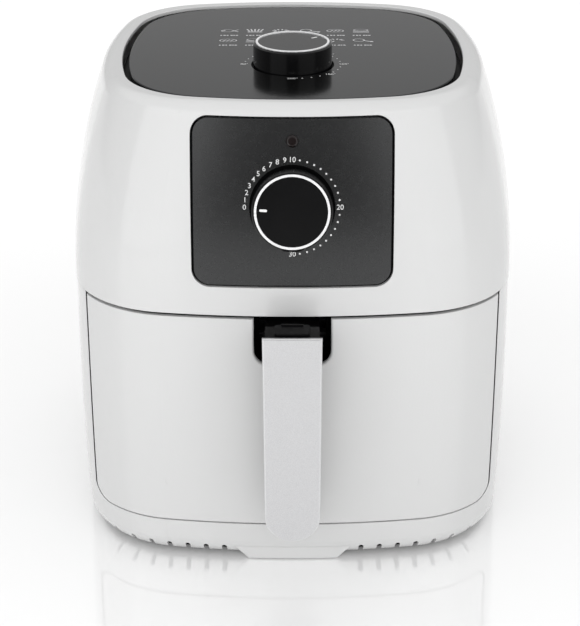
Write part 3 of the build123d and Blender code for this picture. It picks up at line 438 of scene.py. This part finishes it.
class Print:
    """Collects flat printed marks in a local plane, then lays them onto a surface."""

    def __init__(self):
        self.form = bmesh.new()
        self.layer = 0.0

    def next_layer(self):
        """Height of the next mark: each lies a hair over the one before, so crossing marks stay clean."""
        self.layer += LAYER_STEP
        return self.layer

    def label(self, text, size, x, y):
        """Adds a centred label."""
        mesh = label_mesh(text, size)
        mesh.transform(Matrix.Translation((x, y, self.next_layer())))
        self.form.from_mesh(mesh)
        bpy.data.meshes.remove(mesh)

    def dot(self, radius, x, y):
        """Adds a round dot."""
        place = Matrix.Translation((x, y, self.next_layer()))
        bmesh.ops.create_circle(self.form, cap_ends=True, segments=12, radius=radius, matrix=place)

    def capsule(self, length, width, x, y, angle):
        """Adds a bar with round ends."""
        place = Matrix.Translation((x, y, self.next_layer())) @ Matrix.Rotation(angle, 4, "Z")
        made = bmesh.ops.create_circle(self.form, cap_ends=True, segments=18, radius=width / 2)
        for vert in made["verts"]:
            vert.co.x += (length - width) / 2 if vert.co.x > 0 else (width - length) / 2
        bmesh.ops.transform(self.form, matrix=place, verts=made["verts"])

    def bar(self, length, width, x, y, angle):
        """Adds a straight bar centred at a place and turned by an angle."""
        place = Matrix.Translation((x, y, self.next_layer())) @ Matrix.Rotation(angle, 4, "Z")
        made = bmesh.ops.create_grid(self.form, x_segments=1, y_segments=1, size=0.5)
        bmesh.ops.scale(self.form, vec=(length, width, 1), verts=made["verts"])
        bmesh.ops.transform(self.form, matrix=place, verts=made["verts"])

    def oval(self, half_length, half_height, x, y):
        """Adds an oval outline."""
        squeeze = Matrix.Diagonal((1, half_height / half_length, 1, 1))
        made = bmesh.ops.create_circle(self.form, cap_ends=True, segments=28, radius=half_length)
        face = made["verts"][0].link_faces[0]
        bmesh.ops.inset_region(self.form, faces=[face], thickness=OUTLINE_WIDTH, use_boundary=True)
        bmesh.ops.delete(self.form, geom=[face], context="FACES_ONLY")
        ring = set(made["verts"])
        for vert in made["verts"]:
            ring.update(other for linked in vert.link_faces for other in linked.verts)
        placed = Matrix.Translation((x, y, self.next_layer())) @ squeeze
        bmesh.ops.transform(self.form, matrix=placed, verts=list(ring))

    def lay(self, name, frame_matrix, surface, lift):
        """Turns the marks into a mesh that hugs a surface, a hair above it."""
        heights = [vert.co.z for vert in self.form.verts]
        bmesh.ops.transform(self.form, matrix=frame_matrix, verts=self.form.verts)
        up = frame_matrix.to_3x3() @ Vector((0, 0, 1))
        tree = surface_tree(surface)
        for vert, height in zip(self.form.verts, heights):
            hit = tree.ray_cast(vert.co + up * SURFACE_REACH, -up)[0]
            vert.co = (hit if hit else vert.co) + up * (lift + height)
        mesh = bpy.data.meshes.new(name)
        self.form.to_mesh(mesh)
        self.form.free()
        return mesh


def surface_tree(node_name):
    """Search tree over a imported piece's faces."""
    mesh = frame["nodes"][node_name].data
    return BVHTree.FromPolygons([v.co for v in mesh.vertices], [p.vertices for p in mesh.polygons])


def plane_matrix(centre, normal, up):
    """Frame with its Z along the normal and its Y as near as possible to up."""
    z_axis = normal.normalized()
    x_axis = up.cross(z_axis).normalized()
    y_axis = z_axis.cross(x_axis)
    basis = Matrix((x_axis, y_axis, z_axis)).transposed().to_4x4()
    return Matrix.Translation(centre) @ basis


TIMER_FRAME = plane_matrix(TIMER_CENTRE, TIMER_AXIS, Vector((0, 0, 1)))
TOP_FRAME = Matrix.Translation((TEMPERATURE_CENTRE.x, TEMPERATURE_CENTRE.y, PLATE_TOP))


def timer_scale():
    """Minutes round the timer: a figure for each up to ten, then dots, with figures at 20 and 30."""
    marks = Print()
    for minute in range(TIMER_MINUTES + 1):
        angle = radians(180 - MINUTE_TURN * minute)
        x = TIMER_SCALE_RADIUS * cos(angle)
        y = TIMER_SCALE_RADIUS * sin(angle)
        if minute <= FIGURES_TO or minute % FIGURES_TO == 0:
            marks.label(str(minute), TIMER_FIGURE, x, y)
        else:
            marks.dot(TIMER_DOT, x, y)
    mesh = marks.lay("timer_scale", TIMER_FRAME, "control_panel", PRINT_LIFT)
    return finish_piece("timer_scale", mesh, "housing", INK)


def temperature_scale():
    """Degrees round the temperature knob, 45 degrees of turn for each 20."""
    marks = Print()
    for step, label in enumerate(TEMPERATURE_LABELS):
        angle = radians(180 - LABEL_TURN * step)
        clear = RIGHT_CLEARANCE if cos(angle) > 0.1 else 0
        x = TEMPERATURE_SCALE_RADIUS * cos(angle) + clear
        marks.label(label + "°", TEMPERATURE_FIGURE, x, TEMPERATURE_SCALE_RADIUS * sin(angle))
        if step < len(TEMPERATURE_LABELS) - 1:
            for part in range(1, DOTS_BETWEEN + 1):
                between = angle - radians(LABEL_TURN * part / (DOTS_BETWEEN + 1))
                across = TEMPERATURE_SCALE_RADIUS * cos(between)
                marks.dot(TEMPERATURE_DOT, across, TEMPERATURE_SCALE_RADIUS * sin(between))
    mesh = marks.lay("temperature_scale", TOP_FRAME, "top_panel", PRINT_LIFT)
    return finish_piece("temperature_scale", mesh, "housing", INK)


def fish(marks, x, y):
    """Fish: a long body and a tail."""
    marks.oval(4.6 * MM, 3.0 * MM, x - 1.4 * MM, y)
    marks.bar(4.0 * MM, 0.9 * MM, x + 4.8 * MM, y + 1.4 * MM, radians(38))
    marks.bar(4.0 * MM, 0.9 * MM, x + 4.8 * MM, y - 1.4 * MM, radians(-38))
    marks.dot(0.8 * MM, x - 3.6 * MM, y + 0.6 * MM)


def chips(marks, x, y):
    """Chips: a fan of sticks in a tray."""
    for stick in range(-2, 3):
        marks.bar(6.0 * MM, 1.1 * MM, x + 2.4 * stick * MM, y + 1.4 * MM, radians(90 - 9 * stick))
    marks.bar(10.4 * MM, 1.6 * MM, x, y - 3.0 * MM, 0)


def drumstick(marks, x, y):
    """Drumstick: a round end on a bone."""
    marks.oval(4.2 * MM, 3.6 * MM, x - 2.2 * MM, y + 0.6 * MM)
    marks.bar(6.0 * MM, 1.3 * MM, x + 3.8 * MM, y - 1.8 * MM, radians(-24))
    marks.dot(1.3 * MM, x + 6.6 * MM, y - 3.0 * MM)


def steak(marks, x, y):
    """Steak: a wide oval with grill lines."""
    marks.oval(6.2 * MM, 3.8 * MM, x, y)
    for line in (-2, 0, 2):
        marks.bar(4.2 * MM, 0.9 * MM, x + 1.3 * line * MM, y, radians(56))


def cake(marks, x, y):
    """Cake: layers under a rounded top."""
    marks.oval(5.4 * MM, 2.6 * MM, x, y + 1.8 * MM)
    marks.bar(11.4 * MM, 1.2 * MM, x, y - 1.2 * MM, 0)
    marks.bar(11.4 * MM, 1.2 * MM, x, y - 3.8 * MM, 0)


def prawn(marks, x, y):
    """Prawn: a curl of short segments."""
    for segment in range(8):
        angle = radians(10 + 34 * segment)
        marks.bar(2.6 * MM, 1.1 * MM, x + 4.8 * MM * cos(angle), y + 3.0 * MM * sin(angle), angle)


ICON_COLUMNS = (-45.0, -26.9, -8.6, 11.4, 29.9, 48.1)
ICON_ROWS = (57.5, 32.8)
ICON_OVER = 5.8
CAPTION_UNDER = 6
CAPTION_DASHES = (-5.4, -3.0, -0.9, 1.9, 3.7, 5.6)
DASH_HEIGHT = 2.0


def cooking_icons():
    """Two rows of food pictograms behind the knob, each over a short dashed rule."""
    marks = Print()
    pictures = (fish, chips, prawn, drumstick, steak, cake)
    for row, forward in enumerate(ICON_ROWS):
        for column, across in enumerate(ICON_COLUMNS):
            x = across * MM
            y = (forward - TEMPERATURE_CENTRE.y / MM) * MM
            pictures[(column + 4 * row) % len(pictures)](marks, x, y + ICON_OVER * MM)
            for dash, place in enumerate(CAPTION_DASHES):
                length = (1.2 + 0.5 * (dash % 2)) * MM
                marks.bar(length, DASH_HEIGHT * MM, x + place * MM, y - CAPTION_UNDER * MM, 0)
    mesh = marks.lay("cooking_icons", TOP_FRAME, "top_panel", PRINT_LIFT)
    return finish_piece("cooking_icons", mesh, "housing", GREY_INK)


def pointer(name, body, centre_frame, cap_node, angle):
    """Small white mark near the edge of a knob's cap."""
    marks = Print()
    x = POINTER_RADIUS * cos(angle)
    y = POINTER_RADIUS * sin(angle)
    marks.capsule(POINTER_LENGTH, POINTER_WIDTH, x, y, angle)
    mesh = marks.lay(name, centre_frame, cap_node, PRINT_LIFT)
    return finish_piece(name, mesh, body, INK)


KNOB_FRAME = Matrix.Translation((TEMPERATURE_CENTRE.x, TEMPERATURE_CENTRE.y, PLATE_TOP + CAP_REACH))
TIMER_CAP_FRAME = TIMER_FRAME @ Matrix.Translation((0, 0, CAP_REACH))
timer_scale()
temperature_scale()
cooking_icons()
pointer("temperature_pointer", "temperature_knob", KNOB_FRAME, "temperature_knob_cap", TEMPERATURE_POINTER_TURN)
pointer("timer_pointer", "timer_knob", TIMER_CAP_FRAME, "timer_knob_cap", TIMER_POINTER_TURN)


# ---------------------------------------------------------------- floor, light and camera

def studio_floor():
    """Wide pale floor under the object, with a painted glow: it emits faintly near the object and more towards the
    back, standing in for light on the far floor.
    """
    form = bmesh.new()
    bmesh.ops.create_grid(form, x_segments=1, y_segments=1, size=12)
    mesh = bpy.data.meshes.new("floor")
    form.to_mesh(mesh)
    form.free()
    floor = bpy.data.objects.new("floor", mesh)
    bpy.context.scene.collection.objects.link(floor)
    material, tree, shader = start_material("pale_floor", Metallic=0.22)
    # Painted light: the floor glows white although it is no lamp.
    shader.inputs["Emission Color"].default_value = (1.0, 1.0, 1.0, 1.0)
    where = add_node(tree, "ShaderNodeTexCoord").outputs["Object"]
    cloud = noise(tree, where, scale=3.0, detail=2.0)
    tree.links.new(
        blend_colour(tree, cloud, (0.95, 0.95, 0.95), (0.96, 0.96, 0.96)), shader.inputs["Base Color"]
    )
    tree.links.new(ramp(tree, cloud, 0.3, 0.7, 0.06, 0.08), shader.inputs["Roughness"])
    place = add_node(tree, "ShaderNodeSeparateXYZ")
    tree.links.new(where, place.inputs[0])
    # Painted light: the glow grows from near the object towards the back, so the far floor reads white.
    tree.links.new(ramp(tree, place.outputs["Y"], -0.2, 0.7, 0.05, 0.32), shader.inputs["Emission Strength"])
    floor.data.materials.append(material)


def softbox(name, location, target, width, height, power):
    """Rectangular area light that faces a point."""
    light = bpy.data.lights.new(name, "AREA")
    light.shape = "RECTANGLE"
    light.size = width
    light.size_y = height
    light.energy = power
    holder = bpy.data.objects.new(name, light)
    holder.location = location
    holder.rotation_euler = (Vector(target) - Vector(location)).to_track_quat("-Z", "Y").to_euler()
    bpy.context.scene.collection.objects.link(holder)
    return holder


def studio_light():
    """Bright sky overhead, darker room in front, a wide softbox at each front corner and a front fill."""
    world = bpy.data.worlds.new("studio")
    world.use_nodes = True
    tree = world.node_tree
    background = tree.nodes["Background"]
    background.inputs["Color"].default_value = (1.0, 1.0, 1.0, 1.0)
    towards = add_node(tree, "ShaderNodeSeparateXYZ")
    tree.links.new(add_node(tree, "ShaderNodeTexCoord").outputs["Generated"], towards.inputs[0])
    room = ramp(tree, towards.outputs["Y"], -0.9, 0.2, 0.14, 0.58)
    sky = ramp(tree, towards.outputs["Z"], 0.42, 0.62, 0.0, 0.48)
    seen = add_node(tree, "ShaderNodeLightPath").outputs["Is Camera Ray"]
    total = math_node(tree, "ADD", room, sky)
    tree.links.new(math_node(tree, "MAXIMUM", total, seen), background.inputs["Strength"])
    bpy.context.scene.world = world
    for name, side, power in (("left_tall", -1.00, 5.4), ("right_tall", 1.00, 4.6)):
        softbox(name, (side, -1.12, 0.66), (0, 0, 0.30), 1.35, 1.3, power)
    fill = softbox("front_fill", (0, -2.2, 0.9), (0, 0, 0.15), 1.6, 1.4, 17.0)
    fill.visible_glossy = False


CAMERA_DISTANCE = 1.149
CAMERA_HEIGHT = 0.6496
CAMERA_ASIDE = 0.0035
CAMERA_PITCH = 0.424
CAMERA_SHIFT = Vector((-0.0042, -0.0284))
LENS = 99.52332
SENSOR = 36.0


def studio_camera():
    """Camera in front of the body's centre line, looking down."""
    data = bpy.data.cameras.new("camera")
    data.sensor_width = SENSOR
    data.lens = LENS
    data.shift_x = CAMERA_SHIFT.x - CAMERA_ASIDE * LENS / SENSOR / CAMERA_DISTANCE
    data.shift_y = CAMERA_SHIFT.y
    camera = bpy.data.objects.new("camera", data)
    camera.location = (CAMERA_ASIDE, BODY_Y - CAMERA_DISTANCE, CAMERA_HEIGHT)
    camera.rotation_euler = (pi / 2 - CAMERA_PITCH, 0, 0)
    bpy.context.scene.collection.objects.link(camera)
    bpy.context.scene.camera = camera
    bpy.context.scene.view_settings.view_transform = "Standard"


studio_floor()
studio_light()
studio_camera()
